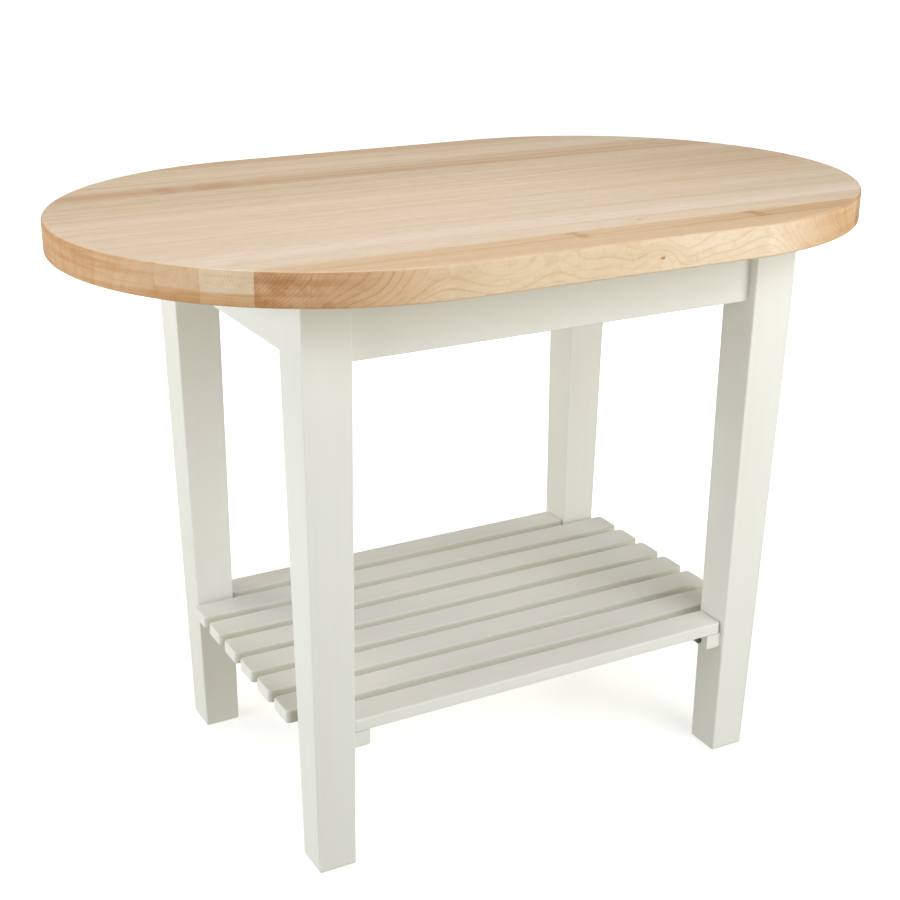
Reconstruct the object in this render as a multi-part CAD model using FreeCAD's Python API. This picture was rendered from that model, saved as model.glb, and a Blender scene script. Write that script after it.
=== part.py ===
"""Butcher block work table: an oval edge-grain top on a painted four-leg base with a slatted shelf.

Millimetres. The origin is on the floor under the middle of the table. X runs along the length,
Y across the width (front is -Y) and Z up. Each piece is written to parts/NODE.step. Alike screws,
bolts, nuts and washers are written together as separate solids in one file.
"""
import FreeCAD, Part
import math
import os
from FreeCAD import Vector

# Overall
top_length = 1219.2
top_width = 762.0
top_thickness = 44.45
table_height = 889.0

# Top: staves glued edge to edge inside an outline of two straight sides and two half ellipses
end_depth = 392.0            # how far each half ellipse reaches past the straight sides
top_edge_round = 3.0
# Rip widths from the front. A wider top starts the list again.
stave_widths = (44.0, 35.0, 45.0, 48.0, 46.0, 46.0, 48.0, 52.0, 47.0,
                48.0, 40.0, 50.0, 47.0, 43.0, 44.0, 43.0, 36.0)
narrowest_stave = 20.0       # a last strip thinner than this is left on its neighbour

# Legs: square at the aprons, with two outer faces that taper to the foot
leg_square = 70.0
leg_foot_square = 56.0
end_overhang = 223.6         # from the tip of the top to the legs' outer faces
side_overhang = 114.0        # from the straight side of the top to the legs' outer faces
leg_edge_round = 2.5
leg_sole_round = 6.0

# Aprons: four boards butted between the legs
apron_height = 100.0
apron_thickness = 22.0
apron_setback = 14.0         # from the legs' outer faces
apron_edge_round = 2.5

# Shelf: slats on two cleats
shelf_height = 230.0         # floor to the top of the slats
slat_width = 49.5
slat_thickness = 19.0
slat_gap = 14.8              # aimed at, then evened out so that the outer slats meet the legs
slat_past_leg_y = 3.3        # from a leg's inner face to the near edge of an outer slat
slat_overhang = 71.0         # how far a long slat runs past the legs' inner faces
slat_corner_round = 7.0
slat_edge_round = 2.5
slat_end_clearance = 0.3     # between a short slat and a leg

cleat_width = 25.4
cleat_height = 25.0
cleat_past_leg_y = 53.3      # how far a cleat runs past the legs' inner faces
cleat_edge_round = 5.0

# Corner brackets: one bent plate across each inside corner of the apron frame
bracket_plate = 2.5
bracket_height = 64.0
bracket_standoff = 10.0      # from the inner corner of the leg to the plate
bracket_tab = 40.0           # length of each tab on the aprons
bracket_lip = 6.0            # depth of the hooked end in its saw kerf
kerf_clearance = 0.2

# Hanger bolts, one through each corner bracket into its leg
hanger_diameter = 8.0
hanger_in_leg = 52.0
hanger_thread_out = 16.0     # past the plate, on the nut's side
thread_pitch = 1.25
thread_depth = 0.7
hanger_nut_flats = 13.0
hanger_nut_height = 6.5
hanger_nut_chamfer = 1.0
hanger_washer_diameter = 20.0

# Angle clips that hold the top to the aprons, slotted so that the wood can move
clip_width = 20.0
clip_plate = 2.0
clip_leg = 30.0
clip_from_bracket = 60.0     # from the end of a corner bracket to the middle of the next clip
clip_slot_width = 6.0
clip_slot_length = 14.0

# Cleat bolts, one through the cleat into each leg
bolt_diameter = 6.0
bolt_head_diameter = 11.0
bolt_head_height = 4.0
bolt_head_profile = ((1.0, 0.5), (0.75, 0.82), (0.35, 0.97))   # (share of height, share of radius)
bolt_socket_flats = 4.0
bolt_socket_depth = 2.0
bolt_in_leg = 32.0
bolt_washer_diameter = 15.0
bolt_from_leg_face = 32.0    # from a leg's inner Y face to the middle of the bolt

# Wood screws
pan_screw_diameter = 4.2
pan_head_diameter = 8.4
pan_head_height = 2.6
pan_head_profile = ((1.0, 0.6), (0.6, 0.92))                   # (share of height, share of radius)
bracket_screw_length = 18.0
clip_screw_length = 16.0
top_screw_length = 28.0
slat_screw_diameter = 4.2
slat_screw_head_diameter = 8.4
slat_screw_head_height = 3.0
slat_screw_in_slat = 12.0
slat_screw_spacing = 28.0    # between the two screws of a slat in one cleat, either side of the bolt
screw_point = 4.0            # length of the cone at the tip of a wood screw
recess_length = 4.4          # across each bar of the cross recess in a screw head
recess_width = 1.0
recess_depth = 1.4

# Clearances
washer_thickness = 1.6
shank_clearance = 0.1        # round a shank in its hole
bore_end_clearance = 0.5     # past the tip of a screw or bolt

# Worked out from the values above
top_underside = table_height - top_thickness
straight_half = top_length / 2 - end_depth
leg_outer_x = top_length / 2 - end_overhang
leg_outer_y = top_width / 2 - side_overhang
leg_inner_x = leg_outer_x - leg_square
leg_inner_y = leg_outer_y - leg_square
apron_bottom = top_underside - apron_height
apron_middle = top_underside - apron_height / 2
long_apron_outer = leg_outer_y - apron_setback
long_apron_inner = long_apron_outer - apron_thickness
end_apron_outer = leg_outer_x - apron_setback
end_apron_inner = end_apron_outer - apron_thickness
shelf_underside = shelf_height - slat_thickness
cleat_bottom = shelf_underside - cleat_height
cleat_middle = shelf_underside - cleat_height / 2
cleat_inner_x = leg_inner_x - cleat_width
cleat_middle_x = leg_inner_x - cleat_width / 2
cleat_half_length = leg_inner_y + cleat_past_leg_y
bolt_y = leg_inner_y + bolt_from_leg_face

EAST_WEST = ((1, "right"), (-1, "left"))
BACK_FRONT = ((1, "back"), (-1, "front"))
X_AXIS = Vector(1, 0, 0)
Y_AXIS = Vector(0, 1, 0)
Z_AXIS = Vector(0, 0, 1)
ORIGIN = Vector(0, 0, 0)


def write(name, shapes):
    """Write one node; several shapes become separate solids of the same node."""
    solids = [solid for shape in shapes for solid in shape.Solids]
    shape = solids[0] if len(solids) == 1 else Part.makeCompound(solids)
    shape.exportStep(f"parts/{name}.step")


def box(low, high):
    """A box between two opposite corners."""
    low, high = Vector(*low), Vector(*high)
    size = high - low
    return Part.makeBox(size.x, size.y, size.z, low)


def mirrored(shape, side_x, side_y):
    """The piece of the +X +Y corner, moved to the corner that the two signs name."""
    if side_x < 0:
        shape = shape.mirror(ORIGIN, X_AXIS)
    if side_y < 0:
        shape = shape.mirror(ORIGIN, Y_AXIS)
    return shape


def corners():
    """The four corners as (side_x, side_y, name)."""
    return [(sx, sy, f"{y_name}_{x_name}") for sx, x_name in EAST_WEST for sy, y_name in BACK_FRONT]


def edges_along(shape, axis, tolerance=0.9):
    """The straight edges that run roughly along an axis."""
    found = []
    for edge in shape.Edges:
        if not isinstance(edge.Curve, Part.Line):
            continue
        direction = edge.tangentAt(edge.FirstParameter)
        if abs(direction.dot(axis)) > tolerance:
            found.append(edge)
    return found


def hole(start, direction, diameter, depth):
    """A cylinder to cut away, a little wider than the shank that it takes."""
    return Part.makeCylinder(diameter / 2 + shank_clearance, depth, start, direction)


def turned(points, start, direction):
    """A solid of revolution from (distance along the axis, radius) points, set on its axis."""
    outline = [Vector(radius, 0, height) for height, radius in points]
    first, last = outline[0], outline[-1]
    ring = [Vector(0, 0, first.z)] + outline + [Vector(0, 0, last.z)]
    clean = [point for index, point in enumerate(ring) if point.distanceToPoint(ring[index - 1]) > 1e-6]
    face = Part.Face(Part.makePolygon(clean + [clean[0]]))
    solid = face.revolve(ORIGIN, Z_AXIS, 360)
    solid = Part.Solid(solid) if solid.ShapeType == "Shell" else solid
    turn = FreeCAD.Rotation(Z_AXIS, direction)
    solid.Placement = FreeCAD.Placement(start, turn)
    return solid


def cross_recess(start, direction):
    """The cross-shaped driver recess cut into the top of a screw head at start."""
    bars = []
    for length, width in ((recess_length, recess_width), (recess_width, recess_length)):
        bars.append(Part.makeBox(length, width, recess_depth, Vector(-length / 2, -width / 2, 0)))
    cross = bars[0].fuse(bars[1])
    cross.Placement = FreeCAD.Placement(start, FreeCAD.Rotation(Z_AXIS, direction))
    return cross


def pan_screw(start, direction, length):
    """A pan-head wood screw; start is under the head and direction points into the wood."""
    radius = pan_screw_diameter / 2
    crown = pan_head_diameter / 2
    points = [(-pan_head_height * rise, crown * reach) for rise, reach in pan_head_profile]
    points += [(0, crown), (0, radius), (length - screw_point, radius), (length, 0)]
    top = start - direction * pan_head_height
    return turned(points, start, direction).cut(cross_recess(top, direction))


def flat_screw(start, direction, length):
    """A countersunk wood screw; start is the flat top of the head."""
    radius = slat_screw_diameter / 2
    points = [(0, slat_screw_head_diameter / 2), (slat_screw_head_height, radius)]
    points += [(length - screw_point, radius), (length, 0)]
    return turned(points, start, direction).cut(cross_recess(start, direction))


def washer(start, direction, outer, inner):
    """A flat washer that lies on the plane at start."""
    ring = Part.makeCylinder(outer / 2, washer_thickness, start, direction)
    return ring.cut(Part.makeCylinder(inner / 2 + shank_clearance, washer_thickness, start, direction))


def hex_prism(start, direction, flats, height):
    """A hexagonal prism standing on the plane at start."""
    reach = flats / 2 / math.cos(math.radians(30))
    angles = [math.radians(60 * step) for step in range(6)]
    ring = [Vector(reach * math.cos(angle), reach * math.sin(angle), 0) for angle in angles]
    prism = Part.Face(Part.makePolygon(ring + [ring[0]])).extrude(Z_AXIS * height)
    prism.Placement = FreeCAD.Placement(start, FreeCAD.Rotation(Z_AXIS, direction))
    return prism


# ---- Corner joint: bracket, hanger bolt and screws, worked out in the +X +Y corner ----

INWARD = Vector(-1, -1, 0).normalize()
OUTWARD = INWARD * -1
leg_corner = Vector(leg_inner_x, leg_inner_y, apron_middle)
plate_outer = leg_corner + INWARD * bracket_standoff
plate_inner = plate_outer + INWARD * bracket_plate
diagonal_sum = plate_outer.x + plate_outer.y
tab_start_x = diagonal_sum - long_apron_inner    # where the plate meets the long apron
tab_start_y = diagonal_sum - end_apron_inner     # where it meets the end apron
tab_end_x = tab_start_x - bracket_tab
tab_end_y = tab_start_y - bracket_tab


def corner_bracket():
    """Bent plate: lip in a kerf, tab on the long apron, diagonal plate, tab on the end apron, lip."""
    plate = bracket_plate
    miter = plate * math.tan(math.radians(22.5))
    apron_y, apron_x = long_apron_inner, end_apron_inner
    ring = [
        Vector(tab_end_x, apron_y + bracket_lip, 0),
        Vector(tab_end_x, apron_y, 0),
        Vector(tab_start_x, apron_y, 0),
        Vector(apron_x, tab_start_y, 0),
        Vector(apron_x, tab_end_y, 0),
        Vector(apron_x + bracket_lip, tab_end_y, 0),
        Vector(apron_x + bracket_lip, tab_end_y - plate, 0),
        Vector(apron_x - plate, tab_end_y - plate, 0),
        Vector(apron_x - plate, tab_start_y - miter, 0),
        Vector(tab_start_x - miter, apron_y - plate, 0),
        Vector(tab_end_x - plate, apron_y - plate, 0),
        Vector(tab_end_x - plate, apron_y + bracket_lip, 0),
    ]
    bottom = apron_middle - bracket_height / 2
    ring = [point + Z_AXIS * bottom for point in ring]
    plate_solid = Part.Face(Part.makePolygon(ring + [ring[0]])).extrude(Z_AXIS * bracket_height)
    cuts = [hole(leg_corner, INWARD, hanger_diameter, bracket_standoff + bracket_plate + 1)]
    for start, direction in bracket_screw_seats():
        cuts.append(hole(start, direction, pan_screw_diameter, bracket_plate))
    return plate_solid.cut(cuts)


def bracket_screw_seats():
    """Where the four screws of a bracket start, on the tabs' inner faces, and where they point."""
    reach = bracket_tab / 2
    rise = bracket_height / 4
    seats = []
    for height in (apron_middle - rise, apron_middle + rise):
        seats.append((Vector(tab_start_x - reach, long_apron_inner - bracket_plate, height), Y_AXIS))
        seats.append((Vector(end_apron_inner - bracket_plate, tab_start_y - reach, height), X_AXIS))
    return seats


def bracket_kerfs():
    """The saw kerfs in the two aprons that a bracket's lips hook into."""
    low = apron_middle - bracket_height / 2 - kerf_clearance
    high = apron_middle + bracket_height / 2 + kerf_clearance
    depth = bracket_lip + bore_end_clearance
    long_kerf = box(
        (tab_end_x - bracket_plate - kerf_clearance, long_apron_inner, low),
        (tab_end_x + kerf_clearance, long_apron_inner + depth, high),
    )
    end_kerf = box(
        (end_apron_inner, tab_end_y - bracket_plate - kerf_clearance, low),
        (end_apron_inner + depth, tab_end_y + kerf_clearance, high),
    )
    return [long_kerf, end_kerf]


def hanger_bolt():
    """Double-ended bolt: wood end in the leg, machine thread out through the bracket."""
    root = hanger_diameter / 2 - thread_depth
    crest = hanger_diameter / 2
    out_end = -(bracket_standoff + bracket_plate + hanger_thread_out)
    points = [(out_end, root)]
    rings = int((hanger_thread_out + bracket_plate) / thread_pitch)
    for ring in range(rings):
        start = out_end + ring * thread_pitch
        points += [(start + thread_pitch / 2, crest), (start + thread_pitch, root)]
    points += [(points[-1][0], crest), (hanger_in_leg - 2 * screw_point, crest)]
    points += [(hanger_in_leg, root / 2)]
    return turned(points, leg_corner, OUTWARD)


def hanger_hole():
    """The pilot hole in a leg, drilled in from its inner corner."""
    start = leg_corner + INWARD * bracket_standoff
    depth = bracket_standoff + hanger_in_leg + bore_end_clearance
    return hole(start, OUTWARD, hanger_diameter, depth)


def hanger_nut():
    """Hexagon nut on the hanger bolt, tight against its washer."""
    start = plate_inner + INWARD * washer_thickness
    nut = hex_prism(start, INWARD, hanger_nut_flats, hanger_nut_height)
    across_corners = hanger_nut_flats / math.cos(math.radians(30))
    profile = [(0, across_corners / 2), (hanger_nut_height - hanger_nut_chamfer, across_corners / 2)]
    profile.append((hanger_nut_height, hanger_nut_flats / 2))
    nut = nut.common(turned(profile, start, INWARD))
    return nut.cut(hole(start, INWARD, hanger_diameter, hanger_nut_height))


# ---- Clips between the aprons and the top, each as (foot of the clip on the apron, inward) ----

def clip_places():
    """Named places of the clips: a point on an apron's inner face and the direction inwards."""
    long_x = tab_end_x - clip_from_bracket
    places = []
    for side_y, y_name in BACK_FRONT:
        for side_x, x_name in EAST_WEST:
            point = Vector(side_x * long_x, side_y * long_apron_inner, top_underside)
            places.append((f"top_clip_{y_name}_{x_name}", point, Y_AXIS * -side_y))
    for side_x, x_name in EAST_WEST:
        point = Vector(side_x * end_apron_inner, 0, top_underside)
        places.append((f"top_clip_{x_name}_end", point, X_AXIS * -side_x))
    return places


def clip_frame(point, inward):
    """Placement that takes +X to inward and the origin to the point under the top."""
    return FreeCAD.Placement(point, FreeCAD.Rotation(X_AXIS, inward))


def top_clip(point, inward):
    """Angle clip: one leg down the apron, the other, slotted, under the top."""
    half = clip_width / 2
    down = box((0, -half, -clip_leg), (clip_plate, half, 0))
    under = box((0, -half, -clip_plate), (clip_leg, half, 0))
    clip = down.fuse(under).removeSplitter()
    inner_bend = [edge for edge in edges_along(clip, Y_AXIS) if is_inner_bend(edge)]
    clip = clip.makeFillet(clip_plate, inner_bend)
    middle = (clip_leg + clip_plate) / 2
    straight = (clip_slot_length - clip_slot_width) / 2
    slot = box(
        (middle - clip_slot_width / 2, -straight, -clip_plate),
        (middle + clip_slot_width / 2, straight, 0),
    )
    for end in (-straight, straight):
        round_end = Part.makeCylinder(clip_slot_width / 2, clip_plate, Vector(middle, end, -clip_plate))
        slot = slot.fuse(round_end)
    if abs(inward.x) > 0.5:
        slot.rotate(Vector(middle, 0, 0), Z_AXIS, 90)
    screw_hole = hole(Vector(clip_plate, 0, -middle), X_AXIS * -1, pan_screw_diameter, clip_plate)
    clip = clip.cut([slot, screw_hole])
    clip.Placement = clip_frame(point, inward)
    return clip


def is_inner_bend(edge):
    """True for the inside edge of a clip's bend."""
    middle = edge.CenterOfMass
    return abs(middle.x - clip_plate) < 0.01 and abs(middle.z + clip_plate) < 0.01


def clip_seats(point, inward):
    """Seats of the clip's apron screw, and of its top screw with the washer under it."""
    middle = (clip_leg + clip_plate) / 2
    apron_seat = point + inward * clip_plate - Z_AXIS * middle
    plate_face = point + inward * middle - Z_AXIS * clip_plate
    return apron_seat, plate_face


def top_screw_holes():
    """Pilot holes in the underside of the top."""
    holes = []
    for _, point, inward in clip_places():
        _, plate_face = clip_seats(point, inward)
        depth = top_screw_length - washer_thickness + bore_end_clearance
        holes.append(hole(plate_face, Z_AXIS, pan_screw_diameter, depth))
    return holes


# ---- Top ----

def top_slab():
    """The whole top before it is divided into staves, with its rims rounded over."""
    half_width = top_width / 2
    ends = []
    for side in (1, -1):
        centre = Vector(side * straight_half, 0, top_underside)
        ellipse_long = max(end_depth, half_width)
        ellipse_short = min(end_depth, half_width)
        long_tip = X_AXIS * (side * end_depth) if end_depth >= half_width else Y_AXIS * half_width
        short_tip = Y_AXIS * half_width if end_depth >= half_width else X_AXIS * (side * end_depth)
        curve = Part.Ellipse(centre + long_tip, centre + short_tip, centre)
        if ellipse_long - ellipse_short < 1e-6:
            curve = Part.Circle(centre, Z_AXIS, half_width)
        low = Vector(centre.x, -half_width, centre.z)
        high = Vector(centre.x, half_width, centre.z)
        tip = centre + X_AXIS * (side * end_depth)
        ends.append(half_curve(curve, low, high, tip))
    sides = []
    for y in (-half_width, half_width):
        start = Vector(-straight_half, y, top_underside)
        stop = Vector(straight_half, y, top_underside)
        sides.append(Part.LineSegment(start, stop).toShape())
    outline = Part.Wire(Part.__sortEdges__([ends[0], sides[0], ends[1], sides[1]]))
    slab = Part.Face(outline).extrude(Z_AXIS * top_thickness)
    rims = [edge for edge in slab.Edges if abs(edge.BoundBox.ZLength) < 0.01]
    return slab.makeFillet(top_edge_round, rims)


def half_curve(curve, low, high, tip):
    """The half of a closed curve from low to high that passes through tip."""
    first, last = curve.parameter(low), curve.parameter(high)
    for start, stop in ((first, last), (last, first)):
        if stop < start:
            stop += 2 * math.pi
        edge = curve.toShape(start, stop)
        if edge.valueAt((start + stop) / 2).distanceToPoint(tip) < 0.01:
            return edge
    raise ValueError("the end of the top has no half that reaches its tip")


def stave_joints():
    """Y places of the glue joints from the front side of the top to the back."""
    joints = [-top_width / 2]
    index = 0
    while joints[-1] < top_width / 2 - narrowest_stave:
        joints.append(joints[-1] + stave_widths[index % len(stave_widths)])
        index += 1
    if top_width / 2 - joints[-2] < narrowest_stave:
        joints.pop()
    joints[-1] = top_width / 2
    return joints


def top_staves():
    """The slab divided along its glue joints, with the screws' pilot holes cut from below."""
    slab = top_slab().cut(top_screw_holes())
    joints = stave_joints()
    reach = top_length / 2 + 1
    staves = []
    for low, high in zip(joints, joints[1:]):
        strip = box((-reach, low, top_underside - 1), (reach, high, table_height + 1))
        staves.append(slab.common(strip))
    return staves


# ---- Base ----

def leg():
    """The leg of the +X +Y corner: inner faces upright, outer faces tapered below the aprons."""
    upper = box(
        (leg_inner_x, leg_inner_y, apron_bottom),
        (leg_outer_x, leg_outer_y, top_underside),
    )
    sections = []
    for height, square in ((0.0, leg_foot_square), (apron_bottom, leg_square)):
        ring = [
            Vector(leg_inner_x, leg_inner_y, height),
            Vector(leg_inner_x + square, leg_inner_y, height),
            Vector(leg_inner_x + square, leg_inner_y + square, height),
            Vector(leg_inner_x, leg_inner_y + square, height),
        ]
        sections.append(Part.makePolygon(ring + [ring[0]]))
    lower = Part.makeLoft(sections, True, True)
    blank = upper.fuse(lower).removeSplitter()
    sole = [edge for edge in blank.Edges if edge.BoundBox.ZMax < 0.01]
    round_sole = blank.makeFillet(leg_sole_round, sole)
    round_sides = blank.makeFillet(leg_edge_round, edges_along(blank, Z_AXIS))
    blank = round_sides.common(round_sole)
    bolt_start = Vector(leg_inner_x, bolt_y, cleat_middle)
    bolt_hole = hole(bolt_start, X_AXIS, bolt_diameter, bolt_in_leg + bore_end_clearance)
    return blank.cut([hanger_hole(), bolt_hole])


def apron_cuts():
    """Kerfs and screw holes that the brackets and clips need in the four aprons."""
    cuts = []
    for side_x, side_y, _ in corners():
        for kerf in bracket_kerfs():
            cuts.append(mirrored(kerf, side_x, side_y))
        for start, direction in bracket_screw_seats():
            depth = bracket_screw_length + bore_end_clearance
            cuts.append(mirrored(hole(start, direction, pan_screw_diameter, depth), side_x, side_y))
    for _, point, inward in clip_places():
        apron_seat, _ = clip_seats(point, inward)
        depth = clip_screw_length + bore_end_clearance
        cuts.append(hole(apron_seat, inward * -1, pan_screw_diameter, depth))
    return cuts


def aprons():
    """Named aprons, each butted between two legs."""
    cuts = apron_cuts()
    boards = []
    for side_y, y_name in BACK_FRONT:
        near, far = sorted((side_y * long_apron_inner, side_y * long_apron_outer))
        board = box((-leg_inner_x, near, apron_bottom), (leg_inner_x, far, top_underside))
        boards.append((f"apron_{y_name}", lower_eased(board, X_AXIS).cut(cuts)))
    for side_x, x_name in EAST_WEST:
        near, far = sorted((side_x * end_apron_inner, side_x * end_apron_outer))
        board = box((near, -leg_inner_y, apron_bottom), (far, leg_inner_y, top_underside))
        boards.append((f"apron_{x_name}_end", lower_eased(board, Y_AXIS).cut(cuts)))
    return boards


def lower_eased(board, along):
    """Round over a board's two lower long edges."""
    low = [edge for edge in edges_along(board, along) if edge.BoundBox.ZMax < apron_bottom + 0.01]
    return board.makeFillet(apron_edge_round, low)


# ---- Shelf ----

def slat_places():
    """Middle Y of each slat from the back to the front; the outer two lie between the legs."""
    outer = leg_inner_y + slat_past_leg_y + slat_width / 2
    gaps = round(2 * outer / (slat_width + slat_gap))
    return [outer - index * 2 * outer / gaps for index in range(gaps + 1)]


def slats():
    """The shelf slats from back to front; a slat that would meet the legs is cut to fit between them."""
    boards = []
    for middle in slat_places():
        low, high = middle - slat_width / 2, middle + slat_width / 2
        meets_leg = max(abs(low), abs(high)) > leg_inner_y
        half = leg_inner_x - slat_end_clearance if meets_leg else leg_inner_x + slat_overhang
        board = box((-half, low, shelf_underside), (half, high, shelf_height))
        board = board.makeFillet(slat_corner_round, edges_along(board, Z_AXIS))
        rims = [edge for edge in board.Edges if edge.BoundBox.ZLength < 0.01]
        board = board.makeFillet(slat_edge_round, rims)
        places = slat_screw_places(middle)
        boards.append(board.cut([slat_screw_hole(side, y) for side in (-1, 1) for y in places]))
    return boards


def slat_screw_places(middle):
    """Y places of a slat's two screws in each cleat."""
    return [middle - slat_screw_spacing / 2, middle + slat_screw_spacing / 2]


def all_slat_screw_places():
    """Y places of every screw in one cleat."""
    return [y for middle in slat_places() for y in slat_screw_places(middle)]


def slat_screw_length():
    """Full length of a slat screw, from the cleat's underside to its tip in the slat."""
    return cleat_height + slat_screw_in_slat


def slat_screw_hole(side_x, y):
    """The hole for one slat screw, through the cleat and into the slat."""
    start = Vector(side_x * cleat_middle_x, y, cleat_bottom)
    depth = slat_screw_length() + bore_end_clearance
    shank = hole(start, Z_AXIS, slat_screw_diameter, depth)
    wide = slat_screw_head_diameter / 2 + shank_clearance
    narrow = slat_screw_diameter / 2 + shank_clearance
    sink = Part.makeCone(wide, narrow, slat_screw_head_height, start, Z_AXIS)
    return shank.fuse(sink)


def cleat(side_x):
    """The bar under one end of the slats, against the inner faces of two legs."""
    near, far = sorted((side_x * cleat_inner_x, side_x * leg_inner_x))
    bar = box((near, -cleat_half_length, cleat_bottom), (far, cleat_half_length, shelf_underside))
    low = [edge for edge in edges_along(bar, Y_AXIS) if edge.BoundBox.ZMax < cleat_bottom + 0.01]
    ends = [edge for edge in edges_along(bar, X_AXIS) if edge.BoundBox.ZMax < cleat_bottom + 0.01]
    bar = bar.makeFillet(cleat_edge_round, low + ends)
    cuts = [slat_screw_hole(side_x, y) for y in all_slat_screw_places()]
    for side_y in (-1, 1):
        start = Vector(side_x * cleat_inner_x, side_y * bolt_y, cleat_middle)
        cuts.append(hole(start, X_AXIS * side_x, bolt_diameter, cleat_width))
    return bar.cut(cuts)


def cleat_bolt():
    """Round-headed bolt through the cleat into the leg of the +X +Y corner."""
    seat = Vector(cleat_inner_x - washer_thickness, bolt_y, cleat_middle)
    radius = bolt_diameter / 2
    crown = bolt_head_diameter / 2
    length = washer_thickness + cleat_width + bolt_in_leg
    points = [(-bolt_head_height * rise, crown * reach) for rise, reach in bolt_head_profile]
    points += [(0, crown), (0, radius), (length - screw_point, radius), (length, radius / 3)]
    socket_top = seat - X_AXIS * bolt_head_height
    socket = hex_prism(socket_top, X_AXIS, bolt_socket_flats, bolt_socket_depth)
    return turned(points, seat, X_AXIS).cut(socket)


def build():
    """Write every node of the table."""
    for index, stave in enumerate(top_staves(), start=1):
        write(f"top_stave_{index:02d}", [stave])
    for name, board in aprons():
        write(name, [board])
    for index, board in enumerate(slats(), start=1):
        write(f"shelf_slat_{index}", [board])
    for side_x, x_name in EAST_WEST:
        write(f"shelf_cleat_{x_name}", [cleat(side_x)])
    corner_leg = leg()
    bracket = corner_bracket()
    for side_x, side_y, name in corners():
        write(f"leg_{name}", [mirrored(corner_leg, side_x, side_y)])
        write(f"corner_bracket_{name}", [mirrored(bracket, side_x, side_y)])
    for name, point, inward in clip_places():
        write(name, [top_clip(point, inward)])
    write_corner_hardware()
    write_screws()


def write_corner_hardware():
    """The bolts, nuts and washers that are alike at the four corners."""
    cleat_face = Vector(cleat_inner_x, bolt_y, cleat_middle)
    alike = {
        "hanger_bolts": hanger_bolt(),
        "hanger_washers": washer(plate_inner, INWARD, hanger_washer_diameter, hanger_diameter),
        "hanger_nuts": hanger_nut(),
        "cleat_bolts": cleat_bolt(),
        "cleat_bolt_washers": washer(cleat_face, X_AXIS * -1, bolt_washer_diameter, bolt_diameter),
    }
    for name, shape in alike.items():
        write(name, [mirrored(shape, side_x, side_y) for side_x, side_y, _ in corners()])


def write_screws():
    """The wood screws of the brackets, clips and slats."""
    bracket_screws = []
    for side_x, side_y, _ in corners():
        for start, direction in bracket_screw_seats():
            screw = pan_screw(start, direction, bracket_screw_length)
            bracket_screws.append(mirrored(screw, side_x, side_y))
    write("bracket_screws", bracket_screws)
    apron_screws, top_screws, top_washers = [], [], []
    for _, point, inward in clip_places():
        apron_seat, plate_face = clip_seats(point, inward)
        apron_screws.append(pan_screw(apron_seat, inward * -1, clip_screw_length))
        seat = plate_face - Z_AXIS * washer_thickness
        top_screws.append(pan_screw(seat, Z_AXIS, top_screw_length))
        top_washers.append(washer(seat, Z_AXIS, clip_slot_length, pan_screw_diameter))
    write("clip_apron_screws", apron_screws)
    write("clip_top_screws", top_screws)
    write("clip_top_washers", top_washers)
    slat_screws = []
    for side_x in (-1, 1):
        for y in all_slat_screw_places():
            start = Vector(side_x * cleat_middle_x, y, cleat_bottom)
            slat_screws.append(flat_screw(start, Z_AXIS, slat_screw_length()))
    write("slat_screws", slat_screws)


os.makedirs("parts", exist_ok=True)
build()
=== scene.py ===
"""Looks of the butcher block table: maple staves, satin paint and steel, lit in a plain studio.

Metres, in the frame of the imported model: X along the length, Y across with the front at -Y, Z up,
and the floor at 0. Lengths that are easier to read in millimetres are multiplied by MM.
"""
import math
from collections import namedtuple
import bpy
from mathutils import Matrix, Vector


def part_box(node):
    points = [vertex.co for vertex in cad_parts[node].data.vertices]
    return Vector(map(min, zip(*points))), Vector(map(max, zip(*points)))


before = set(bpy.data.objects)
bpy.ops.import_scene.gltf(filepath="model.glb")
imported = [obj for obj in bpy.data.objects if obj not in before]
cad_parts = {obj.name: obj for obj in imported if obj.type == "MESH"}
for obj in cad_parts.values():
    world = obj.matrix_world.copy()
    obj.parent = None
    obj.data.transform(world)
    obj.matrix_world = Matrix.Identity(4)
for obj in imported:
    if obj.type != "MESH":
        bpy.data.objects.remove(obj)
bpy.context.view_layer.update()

MM = 0.001
BIG = 40.0                      # half the side of the floor

# Camera
EYE = Vector((-1.0873, -1.8988, 1.3178))
HEADING = 0.4923                # radians from +Y towards +X
LOOK_DOWN = 0.3634
ROLL = 0.0027
LENS = 61.0                     # mm, on a sensor 36 mm wide
SHIFT_ACROSS = 0.0258
SHIFT_UP = 0.0010


# ---- Shader graphs ----

# Sockets of a Mix node: its amount, its pairs of numbers and of colours, and the output for each pair
MIX_AMOUNT = 0
MIX_NUMBERS = (2, 3)
MIX_COLOURS = (6, 7)
MIX_NUMBER_OUT = 0
MIX_COLOUR_OUT = 2


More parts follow.
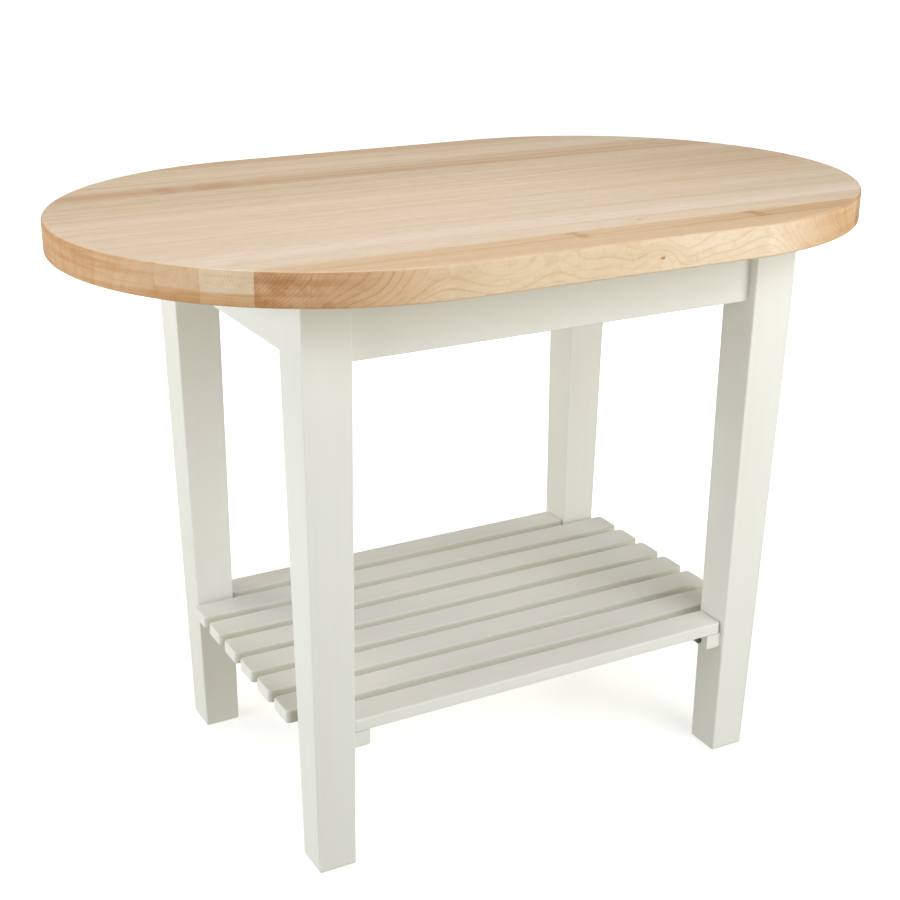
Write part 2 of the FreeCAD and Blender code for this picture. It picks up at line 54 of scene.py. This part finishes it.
class Graph:
    """Builds one material. Most calls make a node and return its output socket."""

    def __init__(self, name):
        self.material = bpy.data.materials.new(name)
        self.material.use_nodes = True
        self.tree = self.material.node_tree
        self.tree.nodes.clear()
        self.surface = self.tree.nodes.new("ShaderNodeBsdfPrincipled")
        output = self.tree.nodes.new("ShaderNodeOutputMaterial")
        self.tree.links.new(self.surface.outputs["BSDF"], output.inputs["Surface"])
        self.coordinates = self.tree.nodes.new("ShaderNodeTexCoord")

    def feed(self, socket, value):
        """Link a socket to another one, or set its number or colour."""
        if isinstance(value, bpy.types.NodeSocket):
            self.tree.links.new(value, socket)
        elif socket.type == "RGBA":
            socket.default_value = (*value[:3], 1.0)
        else:
            socket.default_value = value

    def set(self, name, value):
        """Feed an input of the surface shader."""
        self.feed(self.surface.inputs[name], value)

    def math(self, operation, *values):
        node = self.tree.nodes.new("ShaderNodeMath")
        node.operation = operation
        for socket, value in zip(node.inputs, values):
            self.feed(socket, value)
        return node.outputs[0]

    def add(self, first, *others):
        """The sum of several numbers or sockets."""
        total = first
        for other in others:
            total = self.math("ADD", total, other)
        return total

    def times(self, first, second):
        return self.math("MULTIPLY", first, second)

    def place(self):
        """X, Y and Z of a point in the frame."""
        return self.split(self.coordinates.outputs["Object"])

    def facing(self):
        """X, Y and Z of the surface's outward direction in the frame."""
        return self.split(self.coordinates.outputs["Normal"])

    def split(self, vector):
        node = self.tree.nodes.new("ShaderNodeSeparateXYZ")
        self.feed(node.inputs[0], vector)
        return node.outputs[0], node.outputs[1], node.outputs[2]

    def join(self, x, y, z):
        node = self.tree.nodes.new("ShaderNodeCombineXYZ")
        for socket, value in zip(node.inputs, (x, y, z)):
            self.feed(socket, value)
        return node.outputs[0]

    def noise(self, x, y, z, detail=2.0, roughness=0.5):
        """Smooth noise from 0 to 1, with features about one unit long."""
        node = self.tree.nodes.new("ShaderNodeTexNoise")
        self.feed(node.inputs["Vector"], self.join(x, y, z))
        node.inputs["Scale"].default_value = 1.0
        node.inputs["Detail"].default_value = detail
        node.inputs["Roughness"].default_value = roughness
        return node.outputs["Fac"]

    def stretched(self, place, scales, detail=2.0, roughness=0.5):
        """Noise whose features are about 1 / scale metres long on each axis."""
        scaled = [self.times(axis, scale) for axis, scale in zip(place, scales)]
        return self.noise(*scaled, detail, roughness)

    def ramp(self, value, low, high, to_low=0.0, to_high=1.0):
        """Map low..high smoothly onto to_low..to_high, held beyond both ends."""
        node = self.tree.nodes.new("ShaderNodeMapRange")
        node.interpolation_type = "SMOOTHSTEP"
        self.feed(node.inputs["Value"], value)
        self.feed(node.inputs["From Min"], low)
        self.feed(node.inputs["From Max"], high)
        self.feed(node.inputs["To Min"], to_low)
        self.feed(node.inputs["To Max"], to_high)
        return node.outputs["Result"]

    def bell(self, value, middle, reach):
        """1 where value is middle, falling smoothly to 0 at reach on either side."""
        away = self.math("ABSOLUTE", self.math("SUBTRACT", value, middle))
        return self.ramp(away, 0.0, reach, 1.0, 0.0)

    def mix(self, amount, first, second, blend="MIX"):
        """A colour between first and second."""
        node = self.tree.nodes.new("ShaderNodeMix")
        node.data_type = "RGBA"
        node.blend_type = blend
        self.feed(node.inputs[MIX_AMOUNT], amount)
        for socket, colour in zip(MIX_COLOURS, (first, second)):
            self.feed(node.inputs[socket], colour)
        return node.outputs[MIX_COLOUR_OUT]

    def mix_number(self, amount, first, second):
        """A number between first and second."""
        node = self.tree.nodes.new("ShaderNodeMix")
        self.feed(node.inputs[MIX_AMOUNT], amount)
        for socket, number in zip(MIX_NUMBERS, (first, second)):
            self.feed(node.inputs[socket], number)
        return node.outputs[MIX_NUMBER_OUT]

    def stain(self, colour, amount, tint):
        """The colour, multiplied by tint where amount is 1."""
        return self.mix(amount, colour, tint, "MULTIPLY")

    def bump(self, height, distance):
        """Raise the surface by up to distance where height is 1."""
        node = self.tree.nodes.new("ShaderNodeBump")
        node.inputs["Strength"].default_value = 1.0
        node.inputs["Distance"].default_value = distance
        self.feed(node.inputs["Height"], height)
        self.set("Normal", node.outputs["Normal"])


def display(red, green, blue):
    """A colour given in 0 to 255 display values, as linear light."""
    return tuple(
        value / 255 / 12.92 if value / 255 <= 0.04045 else ((value / 255 + 0.055) / 1.055) ** 2.4
        for value in (red, green, blue)
    )


# ---- Maple ----

WOOD_GAIN = 0.98                # from the tones below, as the lit wood shows them, to the wood's own
STREAK_TINT = (0.86, 0.76, 0.64)
RING_TINT = (0.78, 0.63, 0.48)
LOW_TINT = (0.90, 0.79, 0.66)
BAND_TINT = (0.90, 0.79, 0.67)
# The next tint is painted shade for the rounded rim of the top
RIM_SHADE_TINT = (0.86, 0.82, 0.78)
PATCH_TINT = (0.76, 0.59, 0.44)
KNOT_TINT = (0.45, 0.30, 0.20)
GLUE_TINT = (0.80, 0.70, 0.60)

# Tones of the maple as the lit wood shows them, in 0 to 255 display values. First those of the top.
# TAN also serves on two of the ends.
PALE = (228, 212, 195)
CREAM = (224, 206, 185)
SAND = (218, 200, 178)
OAT = (213, 194, 170)
WHEAT = (208, 186, 160)
HONEY = (217, 190, 158)
TOAST = (213, 184, 150)
TAN = (206, 180, 152)
CARAMEL = (206, 170, 130)

# Then those of the end grain
END_CREAM = (228, 206, 178)
END_PEACH = (226, 197, 157)
END_HONEY = (220, 188, 153)
END_GOLD = (217, 182, 146)
END_AMBER = (209, 170, 132)
END_TAN = (204, 169, 133)

# Tones of the front stave's front face between its ends
FACE_LEFT = (235, 217, 190)
FACE_RIGHT = (243, 229, 209)

# One row per stave from the front: tone of the top at the left and at the right, tone of the left end
# and of the right end, strength of the streaks, strength of the rings on the ends, width of a growth
# ring and the pith's place behind and above the stave's middle. The last three are in mm.
Stave = namedtuple(
    "Stave", "left right left_end right_end streakiness end_rings ring_width pith_across pith_up"
)
STAVES = (
    (HONEY, TOAST, END_AMBER, END_HONEY, 0.50, 0.80, 3.4, 96, 30),
    (HONEY, CARAMEL, END_AMBER, END_PEACH, 0.80, 0.95, 2.9, 80, 42),
    (CREAM, SAND, END_CREAM, END_TAN, 0.45, 0.45, 2.6, 90, 35),
    (PALE, PALE, END_HONEY, TAN, 0.35, 0.45, 2.4, 95, 42),
    (CREAM, SAND, END_GOLD, TAN, 0.45, 0.25, 3.8, 75, 40),
    (CREAM, SAND, END_GOLD, END_TAN, 0.55, 0.20, 3.2, -95, -30),
    (CREAM, OAT, END_AMBER, END_TAN, 0.50, 0.20, 2.8, 120, 10),
    (CREAM, OAT, END_AMBER, END_TAN, 0.60, 0.15, 3.6, -80, 35),
    (CREAM, WHEAT, END_AMBER, END_TAN, 0.55, 0.20, 3.0, 100, -25),
    (SAND, WHEAT, END_AMBER, END_TAN, 0.65, 0.20, 3.3, -70, -40),
    (SAND, WHEAT, END_AMBER, END_TAN, 0.75, 0.20, 2.7, 88, 30),
    (OAT, OAT, END_AMBER, END_TAN, 0.60, 0.20, 3.5, -105, 15),
    (TAN, WHEAT, END_TAN, END_TAN, 1.00, 0.25, 2.6, 66, -45),
    (OAT, OAT, END_AMBER, END_TAN, 0.60, 0.20, 3.1, -90, 20),
    (SAND, SAND, END_GOLD, END_TAN, 0.50, 0.20, 3.7, 110, -15),
    (OAT, OAT, END_TAN, END_TAN, 0.60, 0.20, 2.9, -75, 38),
    (TAN, WHEAT, END_TAN, END_TAN, 0.70, 0.25, 3.2, 82, -28),
)

# From and to which X one tone turns into the next
TOP_TURN = (0.05, 0.55)
END_TURN = (-0.30, 0.30)
FACE_TURN = (0.00, 0.15)
FACE_LEFT_END_TURN = (-0.40, -0.14)
FACE_RIGHT_END_TURN = (0.20, 0.37)
FACE_RINGS_TURN = (-0.35, -0.10)

# Staves counted from the front: the one that makes the front face, those whose left ends are clouded
# brown, and those whose ends are browner in their lower half
FRONT_STAVE = 1
CLOUDED = (1, 2)
LOW_BROWN = (3, 4)

# Short darker patches as (stave, middle X, half length, strength), and pin knots as (stave, X, Y, Z), in mm
PATCHES = ((2, -23, 8, 0.85), (2, 262, 9, 1.0), (13, -390, 13, 0.5), (13, -315, 30, 0.35))
KNOTS = ((1, 64, -381, 863), (3, 100, -277, 889))

# Growth rings: the part of a ring's width where its dark line starts and peaks, the line's strength on
# the top of the front stave and on the middle of its face, how far the rings meander on the faces, and
# how far the grain runs out of line on the odd and even staves
LINE_START = 0.62
LINE_PEAK = 0.93
FRONT_TOP_RINGS = 0.32
FACE_RINGS = 0.45
FACE_MEANDER = 34 * MM
MEANDER = 6 * MM
ODD_SLANT = 0.022
EVEN_SLANT = -0.017
NOISE_STEP = 17.0               # from one stave's stretch of noise to the next one's

# How far the pith wanders across and up, how deep the rings ripple, and how far the level bands wave
WANDER_ACROSS = 22 * MM
WANDER_UP = 30 * MM
RIPPLE_DEPTH = 1.6 * MM
LEVEL_WAVE = 6 * MM

# A pin knot: radius of its solid core, where it has faded out, how far off it bends the rings, and by
# how much
KNOT_CORE = 1.0 * MM
KNOT_EDGE = 3.0 * MM
KNOT_REACH = 26 * MM
KNOT_SWELL = 6.0 * MM

# Finish of the wood: range of roughness, gloss and height of the relief
WOOD_ROUGHNESS = (0.36, 0.50)
WOOD_GLOSS = 0.42
WOOD_RELIEF = 0.05 * MM

# Features per metre of the kinds of noise on X, Y and Z
RIPPLE = (14.0, 45.0, 45.0)
HAIR = (22.0, 900.0, 900.0)
FLECK = (260.0, 1500.0, 120.0)
CURL = (60.0, 120.0, 120.0)
CLOUD = (40.0, 60.0, 60.0)

# How faint marks fade in: from and to which noise, and from and to which strength
BAND_FADE = (0.45, 0.75, 0.0, 0.40)
HAIR_FADE = (0.45, 0.80, 0.0, 0.45)
FLECK_FADE = (0.60, 0.75, 0.0, 0.32)
CURL_FADE = (0.45, 0.72, 0.0, 0.38)

# The glue line: from and to which distance before the joint it darkens, and how much
GLUE_REACH = (0.7 * MM, 0.1 * MM)
GLUE_STRENGTH = 0.35


def maple(number, node):
    """One stave: growth rings round its own pith, streaks along them, fibres, patches and knots."""
    stave = Stave(*STAVES[number - 1])
    low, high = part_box(node)
    middle = (low + high) / 2
    graph = Graph(f"maple_{number:02d}")
    place = graph.place()
    x, y, _ = place
    start = number * NOISE_STEP

    # How far the surface shows the ends of the fibres, and how far it faces sideways
    facing_x, _, facing_z = graph.facing()
    end_grain = graph.ramp(graph.math("ABSOLUTE", facing_x), 0.12, 0.60)
    sideways = graph.ramp(graph.math("ABSOLUTE", facing_z), 0.25, 0.90, 1.0, 0.0)

    knots = [knot_near(graph, place, knot) for knot_stave, *knot in KNOTS if knot_stave == number]
    from_pith = distance_from_pith(graph, place, middle, stave, number)
    from_pith = graph.add(from_pith, *[swell for _, swell in knots])
    line = ring_line(graph, x, from_pith, sideways, stave, number)

    # Streaks that follow the rings, fine fibres, and a faint curl across them
    streak = graph.noise(graph.times(x, 1.1), graph.times(from_pith, 75.0), start, 4.0, 0.62)
    streak = graph.ramp(streak, 0.40, 0.72)
    band = graph.noise(graph.times(x, 0.7), graph.times(from_pith, 34.0), start + 3.0, 1.0)
    hair = graph.stretched(place, HAIR)
    fleck = graph.stretched(place, FLECK, 1.0)
    curl = graph.stretched(place, CURL, 3.0, 0.6)

    colour, ring_strength = body_tone(graph, x, end_grain, sideways, stave, number)
    colour = graph.stain(colour, graph.times(streak, stave.streakiness * 0.75), STREAK_TINT)
    marks = ((band, BAND_FADE), (hair, HAIR_FADE), (fleck, FLECK_FADE), (curl, CURL_FADE))
    for mark, fade in marks:
        colour = graph.stain(colour, graph.ramp(mark, *fade), STREAK_TINT)
    colour = graph.stain(colour, graph.times(line, ring_strength), RING_TINT)
    colour = stain_ends(graph, colour, place, middle, end_grain, number)
    # Painted shade: the rounded rim between the top and the sides is darkened, to hold back the light it
    # catches
    colour = graph.stain(colour, graph.bell(facing_z, 0.55, 0.45), RIM_SHADE_TINT)
    colour = stain_patches(graph, colour, place, number)
    for core, _ in knots:
        colour = graph.stain(colour, core, KNOT_TINT)
    half = (high.y - low.y) / 2
    to_middle = graph.math("ABSOLUTE", graph.add(y, -middle.y))
    glue_from, glue_to = [half - reach for reach in GLUE_REACH]
    glue = graph.ramp(to_middle, glue_from, glue_to, 0.0, GLUE_STRENGTH)
    colour = graph.stain(colour, glue, GLUE_TINT)

    graph.set("Base Color", colour)
    polish = graph.add(graph.times(streak, 0.5), graph.times(hair, 0.5))
    graph.set("Roughness", graph.ramp(polish, 0.2, 0.8, *WOOD_ROUGHNESS))
    graph.set("Specular IOR Level", WOOD_GLOSS)
    graph.bump(graph.add(graph.times(line, -0.5), hair), WOOD_RELIEF)
    return graph.material


def distance_from_pith(graph, place, middle, stave, number):
    """Distance from the pith, which wanders along the stave, with a slight ripple."""
    x, y, z = place
    start = number * NOISE_STEP
    wander_y = graph.add(graph.noise(graph.times(x, 2.2), start, 1.0), -0.5)
    wander_z = graph.add(graph.noise(graph.times(x, 1.7), start, 5.0), -0.5)
    slant = ODD_SLANT if number % 2 else EVEN_SLANT
    pith_y = middle.y + stave.pith_across * MM
    pith_z = middle.z + stave.pith_up * MM
    off_y = graph.add(y, -pith_y, graph.times(wander_y, WANDER_ACROSS), graph.times(x, slant))
    off_z = graph.add(z, -pith_z, graph.times(wander_z, WANDER_UP))
    distance = graph.math("SQRT", graph.add(graph.times(off_y, off_y), graph.times(off_z, off_z)))
    return graph.add(distance, graph.times(graph.stretched(place, RIPPLE), RIPPLE_DEPTH))


def ring_line(graph, x, from_pith, sideways, stave, number):
    """1 on the thin darker line that ends each growth ring. The rings meander on the faces."""
    start = number * NOISE_STEP
    reach = FACE_MEANDER if number == FRONT_STAVE else MEANDER
    meander = graph.add(graph.noise(graph.times(x, 7.0), start, 9.0, 1.0), -0.5)
    meander = graph.times(graph.times(meander, sideways), reach)
    rings = graph.times(graph.add(from_pith, meander), 1 / (stave.ring_width * MM))
    phase = graph.math("FRACT", rings)
    rise = graph.ramp(phase, LINE_START, LINE_PEAK)
    fall = graph.ramp(phase, LINE_PEAK, 1.0, 1.0, 0.0)
    weight = graph.noise(graph.times(rings, 0.9), graph.times(x, 1.5), start, 1.0)
    return graph.times(graph.times(rise, fall), graph.ramp(weight, 0.3, 0.7, 0.25, 1.0))


def body_tone(graph, x, end_grain, sideways, stave, number):
    """The plain tone of the wood and the strength of its rings. The front stave also has a face."""
    top = graph.mix(graph.ramp(x, *TOP_TURN), wood(stave.left), wood(stave.right))
    if number == FRONT_STAVE:
        face = graph.mix(graph.ramp(x, *FACE_TURN), wood(FACE_LEFT), wood(FACE_RIGHT))
        face = graph.mix(graph.ramp(x, *FACE_LEFT_END_TURN), wood(stave.left_end), face)
        face = graph.mix(graph.ramp(x, *FACE_RIGHT_END_TURN), face, wood(stave.right_end))
        face_rings = graph.ramp(x, *FACE_RINGS_TURN, stave.end_rings, FACE_RINGS)
        return graph.mix(sideways, top, face), graph.mix_number(sideways, FRONT_TOP_RINGS, face_rings)
    ends = graph.mix(graph.ramp(x, *END_TURN), wood(stave.left_end), wood(stave.right_end))
    top_rings = 0.22 + 0.2 * stave.streakiness
    return graph.mix(end_grain, top, ends), graph.mix_number(end_grain, top_rings, stave.end_rings)


def stain_ends(graph, colour, place, middle, end_grain, number):
    """Soft level bands on the ends, cloudy brown on some, and a browner lower half on others."""
    x, y, z = place
    wave = graph.noise(graph.times(x, 12.0), graph.times(y, 12.0), number * NOISE_STEP)
    height = graph.add(z, -middle.z, graph.times(wave, LEVEL_WAVE))
    level = graph.noise(graph.times(x, 5.0), graph.times(y, 5.0), graph.times(height, 130.0))
    colour = graph.stain(colour, graph.times(end_grain, graph.ramp(level, 0.44, 0.58)), BAND_TINT)
    if number in CLOUDED:
        left_end = graph.times(end_grain, graph.ramp(x, -0.30, -0.20, 1.0, 0.0))
        browned = graph.times(left_end, graph.stretched(place, CLOUD))
        colour = graph.stain(colour, graph.ramp(browned, 0.30, 0.60, 0.0, 0.65), PATCH_TINT)
    if number in LOW_BROWN:
        lower_half = graph.times(end_grain, graph.ramp(height, -4 * MM, -1 * MM, 1.0, 0.0))
        colour = graph.stain(colour, lower_half, LOW_TINT)
    return colour


def stain_patches(graph, colour, place, number):
    """The short darker patches of one stave, with ragged ends and a faint hatching."""
    x, y, z = place
    start = number * NOISE_STEP
    for patch_stave, patch_x, reach, strength in PATCHES:
        if patch_stave != number:
            continue
        rag = graph.noise(graph.times(y, 130.0), graph.times(z, 60.0), start, 3.0, 0.7)
        ragged = graph.add(x, graph.times(graph.add(rag, -0.5), reach * 3.5 * MM))
        patch = graph.bell(ragged, patch_x * MM, reach * 1.6 * MM)
        hatch = graph.noise(graph.times(x, 300.0), graph.times(y, 50.0), start)
        hatch = graph.ramp(hatch, 0.35, 0.65, 0.55, 1.0)
        patch = graph.times(graph.ramp(patch, 0.1, 0.5, 0.0, strength), hatch)
        colour = graph.stain(colour, patch, PATCH_TINT)
    return colour


def wood(tone):
    """A wood colour as the surface shader needs it."""
    return tuple(value * WOOD_GAIN for value in display(*tone))


def knot_near(graph, place, knot):
    """A pin knot: how dark its core is, and how far it pushes the growth rings aside."""
    along, *sideways = [graph.add(axis, -value * MM) for axis, value in zip(place, knot)]
    squares = [graph.times(graph.times(along, 0.55), graph.times(along, 0.55))]
    squares += [graph.times(side, side) for side in sideways]
    distance = graph.math("SQRT", graph.add(*squares))
    core = graph.ramp(distance, KNOT_CORE, KNOT_EDGE, 0.85, 0.0)
    swell = graph.ramp(distance, 0.0, KNOT_REACH, KNOT_SWELL, 0.0)
    return core, swell


# ---- Paint and steel ----

PAINT = (0.84, 0.84, 0.81)
CLOUD_TINT = (0.965, 0.96, 0.94)
BRUSH_TINT = (0.97, 0.965, 0.95)
# Painted shade for the slat sides that face the narrow gaps between the slats
GAP_SHADE_TINT = (0.79, 0.79, 0.73)

# Features per metre of the brush marks and of the cloudiness, across and along a piece
BRUSH_ACROSS = 170.0
BRUSH_ALONG = 2.5
CLOUD_ACROSS = 22.0
CLOUD_ALONG = 1.6

# Finish of the paint: range of roughness, gloss and height of the brush marks
PAINT_ROUGHNESS = (0.40, 0.52)
PAINT_GLOSS = 0.40
PAINT_RELIEF = 0.04 * MM

# The two kinds of steel, the mottling they share, and its features per metre
ZINC = (0.62, 0.63, 0.64)
ZINC_ROUGHNESS = 0.34
DARK_STEEL = (0.19, 0.19, 0.20)
DARK_ROUGHNESS = 0.42
MOTTLE_TINT = (0.86, 0.87, 0.90)
MOTTLE = (120.0, 120.0, 120.0)
SPECKLE = (900.0, 900.0, 900.0)
STEEL_RELIEF = 0.01 * MM


def paint(name, along, gaps=(False, False)):
    """Satin paint over hardwood. Brush marks and faint grain run along one axis (0, 1 or 2).

    gaps says whether the -Y and +Y sides stand in narrow gaps. Those sides get a darker tint, painted shade
    for the gaps.
    """
    graph = Graph(name)
    fine = [BRUSH_ACROSS] * 3
    fine[along] = BRUSH_ALONG
    finest = [scale * 3 for scale in fine]
    coarse = [CLOUD_ACROSS] * 3
    coarse[along] = CLOUD_ALONG
    place = graph.place()
    brush = graph.stretched(place, fine, 3.0, 0.6)
    grain = graph.stretched(place, finest)
    cloud = graph.stretched(place, coarse)
    colour = graph.stain(PAINT, graph.ramp(cloud, 0.3, 0.8, 0.0, 0.5), CLOUD_TINT)
    colour = graph.stain(colour, graph.ramp(brush, 0.45, 0.8, 0.0, 0.5), BRUSH_TINT)
    facing_y = graph.facing()[1]
    # Painted shade: the sides that face a narrow gap are darkened, as the shade between the slats would
    # darken them
    for in_gap, outward in zip(gaps, (-1.0, 1.0)):
        if in_gap:
            gap_shade = graph.ramp(graph.times(facing_y, outward), 0.15, 0.80)
            colour = graph.stain(colour, gap_shade, GAP_SHADE_TINT)
    graph.set("Base Color", colour)
    graph.set("Roughness", graph.ramp(brush, 0.25, 0.75, *PAINT_ROUGHNESS))
    graph.set("Specular IOR Level", PAINT_GLOSS)
    graph.bump(graph.add(brush, graph.times(grain, 0.6)), PAINT_RELIEF)
    return graph.material


def steel(name, tone, rough):
    """Plated steel with a fine mottled finish."""
    graph = Graph(name)
    place = graph.place()
    speckle = graph.stretched(place, SPECKLE)
    cloud = graph.stretched(place, MOTTLE)
    colour = graph.stain(tone, graph.ramp(cloud, 0.35, 0.7), MOTTLE_TINT)
    graph.set("Base Color", colour)
    graph.set("Metallic", 1.0)
    graph.set("Roughness", graph.ramp(speckle, 0.3, 0.7, rough - 0.06, rough + 0.08))
    graph.bump(speckle, STEEL_RELIEF)
    return graph.material


# Last digits of the two slats that have a gap on one side only
FRONT_SLAT = "8"
BACK_SLAT = "1"


def dress():
    """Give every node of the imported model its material."""
    zinc = steel("zinc_plate", ZINC, ZINC_ROUGHNESS)
    dark = steel("dark_bolt_steel", DARK_STEEL, DARK_ROUGHNESS)
    for name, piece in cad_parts.items():
        if name.startswith("top_stave"):
            material = maple(int(name[-2:]), name)
        elif name.startswith("leg_"):
            material = paint(f"paint_{name}", 2)
        elif name.startswith("shelf_slat"):
            # Which sides of this slat get the painted gap shade
            gaps = (not name.endswith(FRONT_SLAT), not name.endswith(BACK_SLAT))
            material = paint(f"paint_{name}", 0, gaps)
        elif name in ("apron_front", "apron_back"):
            material = paint(f"paint_{name}", 0)
        elif name.startswith(("apron_", "shelf_cleat")):
            material = paint(f"paint_{name}", 1)
        elif name.startswith("cleat_bolt"):
            material = dark
        else:
            material = zinc
        for slot in piece.material_slots:
            slot.material = material


# ---- Stage ----

# Light that comes up from the pale room below the table's height, and the little that comes from above
BELOW = (0.565, 0.555, 0.45)
ABOVE = (0.16, 0.16, 0.16)
HORIZON = 0.25                  # the change from one to the other, as the rise of a direction

# Lower soft boxes than this don't show in the gloss, as they would glare on the top from the other sides
GLOSS_HEIGHT = 2.5

# How the floor's glow grows: from and to which distance from the origin, and from and to which strength
FLOOR_GLOW = (0.8, 3.2, 0.46, 1.0)

# Soft boxes: name, place, aim, side (m), power (W) and tint
SOFTBOXES = (
    ("front_right", (1.6, -2.8, 1.5), (0, 0, 0.5), 1.1, 18, (0.90, 1.0, 1.10)),
    ("front_low", (2.4, -2.4, 0.8), (0, 0, 0.5), 1.1, 21, (1.05, 1.0, 0.85)),
    ("front_high", (0.2, -2.5, 2.7), (0, 0, 0.5), 1.2, 23, (0.95, 1.0, 1.08)),
    ("front_near", (0.9, -2.0, 1.7), (0.2, 0, 0.5), 0.9, 11, (1.04, 1.0, 0.93)),
    ("left_low", (-2.8, -0.2, 0.9), (0, 0, 0.5), 1.4, 37, (0.95, 1.0, 1.08)),
    ("back_left", (-2.2, 2.4, 2.2), (0, 0, 0.5), 1.6, 33, (1.06, 1.0, 0.72)),
    ("back_low", (1.8, 2.8, 0.62), (0, 0, 0.25), 0.9, 27, (1.0, 1.0, 0.97)),
    ("overhead", (-0.2, 0.0, 3.2), (0, 0, 0.5), 2.2, 48, (1.0, 1.0, 0.99)),
)


def floor():
    """A plain pale floor that reaches far past the view. It glows a little more away from the table."""
    graph = Graph("studio_floor")
    x, y, _ = graph.place()
    away = graph.math("SQRT", graph.add(graph.times(x, x), graph.times(y, y)))
    graph.set("Base Color", (0.90, 0.90, 0.89))
    graph.set("Roughness", 0.9)
    graph.set("Specular IOR Level", 0.0)
    graph.set("Emission Color", (1.0, 1.0, 1.0))
    graph.set("Emission Strength", graph.ramp(away, *FLOOR_GLOW))
    corners = [(-BIG, -BIG, 0), (BIG, -BIG, 0), (BIG, BIG, 0), (-BIG, BIG, 0)]
    stage_piece("studio_floor", corners, [(0, 1, 2, 3)], graph.material)


def backdrop():
    """A white box round the stage, for the views that look past the floor's edge."""
    graph = Graph("studio_walls")
    graph.set("Base Color", (0.0, 0.0, 0.0))
    graph.set("Specular IOR Level", 0.0)
    graph.set("Emission Color", (1.0, 1.0, 1.0))
    graph.set("Emission Strength", 1.0)
    ring = ((-BIG, -BIG), (BIG, -BIG), (BIG, BIG), (-BIG, BIG))
    corners = [(x, y, z) for z in (-BIG, BIG) for x, y in ring]
    sides = [(0, 1, 5, 4), (1, 2, 6, 5), (2, 3, 7, 6), (3, 0, 4, 7), (0, 1, 2, 3), (4, 5, 6, 7)]
    stage_piece("studio_walls", corners, sides, graph.material)


def stage_piece(name, corners, sides, material):
    """A piece of the stage. The camera sees it, and it takes shadows, but it throws no light back."""
    mesh = bpy.data.meshes.new(name)
    mesh.from_pydata(corners, [], sides)
    mesh.materials.append(material)
    piece = bpy.data.objects.new(name, mesh)
    bpy.context.scene.collection.objects.link(piece)
    piece.visible_diffuse = False
    piece.visible_glossy = False
    piece.visible_shadow = False


def softbox(name, place, aim, side, power, tint):
    """A square soft light near the table."""
    light = bpy.data.lights.new(name, "AREA")
    light.energy = power
    light.size = side
    light.color = tint
    lamp = bpy.data.objects.new(name, light)
    lamp.location = place
    lamp.visible_glossy = place[2] > GLOSS_HEIGHT
    lamp.rotation_euler = (Vector(aim) - Vector(place)).to_track_quat("-Z", "Y").to_euler()
    bpy.context.scene.collection.objects.link(lamp)


def room_light():
    """Pale light from the room, most of it thrown up from below."""
    world = bpy.data.worlds.new("studio")
    world.use_nodes = True
    tree = world.node_tree
    place = tree.nodes.new("ShaderNodeTexCoord")
    split = tree.nodes.new("ShaderNodeSeparateXYZ")
    rise = tree.nodes.new("ShaderNodeMapRange")
    rise.interpolation_type = "SMOOTHSTEP"
    rise.inputs["From Min"].default_value = -HORIZON
    rise.inputs["From Max"].default_value = HORIZON
    blend = tree.nodes.new("ShaderNodeMix")
    blend.data_type = "RGBA"
    for socket, glow in zip(MIX_COLOURS, (BELOW, ABOVE)):
        blend.inputs[socket].default_value = (*glow, 1.0)
    tree.links.new(place.outputs["Generated"], split.inputs[0])
    tree.links.new(split.outputs[2], rise.inputs["Value"])
    tree.links.new(rise.outputs["Result"], blend.inputs[MIX_AMOUNT])
    tree.links.new(blend.outputs[MIX_COLOUR_OUT], tree.nodes["Background"].inputs["Color"])
    bpy.context.scene.world = world


def camera():
    """The viewing angle, with a small shift that frames the table as a crop would."""
    data = bpy.data.cameras.new("view")
    data.sensor_width = 36.0
    data.lens = LENS
    data.shift_x = SHIFT_ACROSS
    data.shift_y = SHIFT_UP
    data.clip_end = 4 * BIG
    eye = bpy.data.objects.new("view", data)
    turn = Matrix.Rotation(-HEADING, 4, "Z") @ Matrix.Rotation(math.pi / 2 - LOOK_DOWN, 4, "X")
    eye.matrix_world = Matrix.Translation(EYE) @ turn @ Matrix.Rotation(ROLL, 4, "Z")
    bpy.context.scene.collection.objects.link(eye)
    bpy.context.scene.camera = eye


dress()
floor()
backdrop()
room_light()
for box in SOFTBOXES:
    softbox(*box)
camera()
bpy.context.scene.view_settings.view_transform = "Standard"
